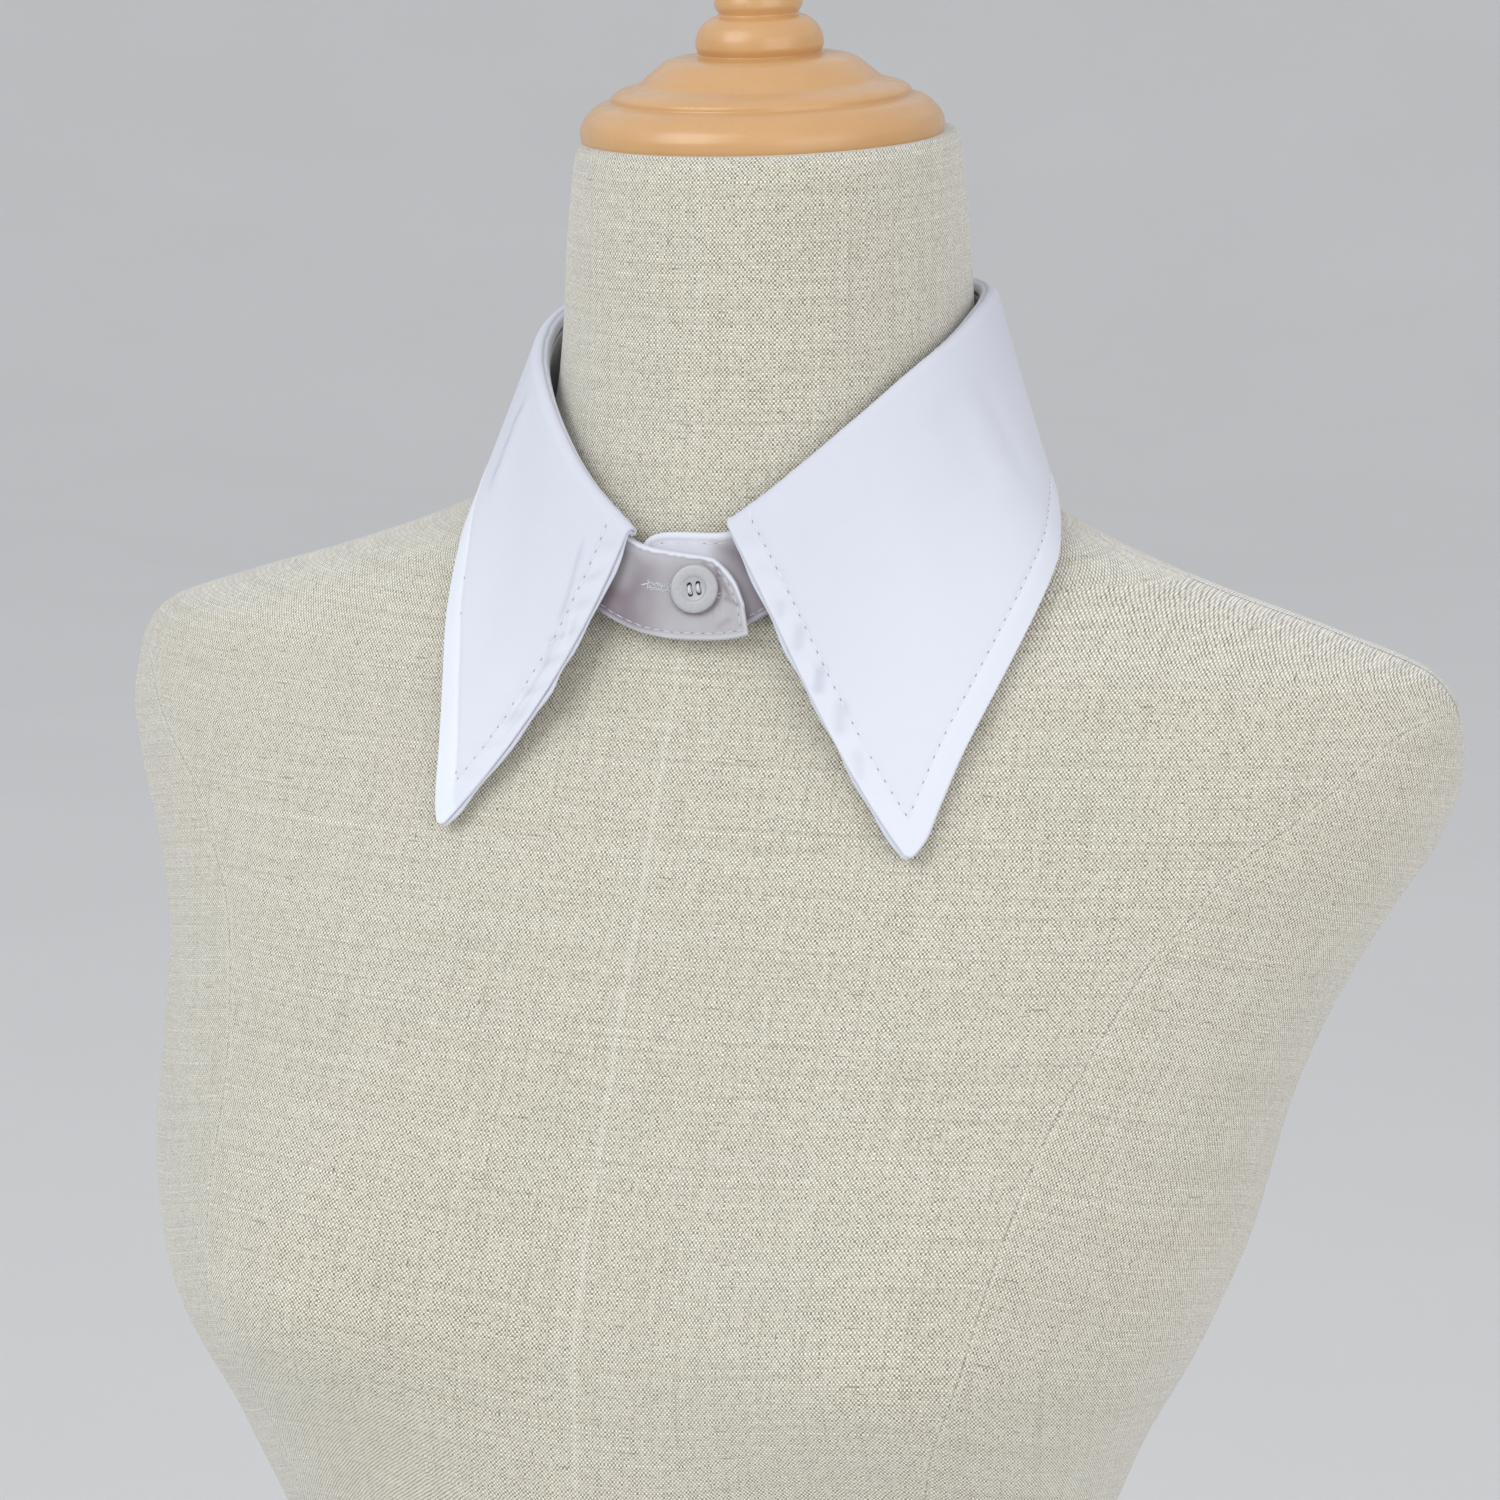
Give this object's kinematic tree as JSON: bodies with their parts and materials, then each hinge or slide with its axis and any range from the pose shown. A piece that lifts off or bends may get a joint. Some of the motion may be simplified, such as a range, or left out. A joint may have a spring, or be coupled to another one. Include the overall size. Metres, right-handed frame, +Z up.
{
  "type": "detachable shirt collar on a dress form",
  "caption": "Pointed white shirt collar with a buttoned band, on a linen-covered dress form with a turned wooden neck cap.",
  "frame": {"origin": "middle of the bounding box in plan, at the flat bottom of the dress form", "axes": "+Z up, the front of the form faces -Y, the wearer's left is +X"},
  "size_m": [0.378, 0.2392, 0.6946],
  "materials": {
    "poplin": "white cotton poplin, crisp and matte",
    "linen": "natural plain-weave linen with slubs",
    "wood": "turned and varnished, glossy",
    "button": "glossy, slightly translucent white"
  },
  "bodies": {
    "root": {"upper_collar": "poplin", "under_collar": "poplin", "band_outer": "poplin", "band_inner": "poplin", "button": "button", "form_torso": "linen", "neck_cap": "wood"}
  },
  "joints": []
}
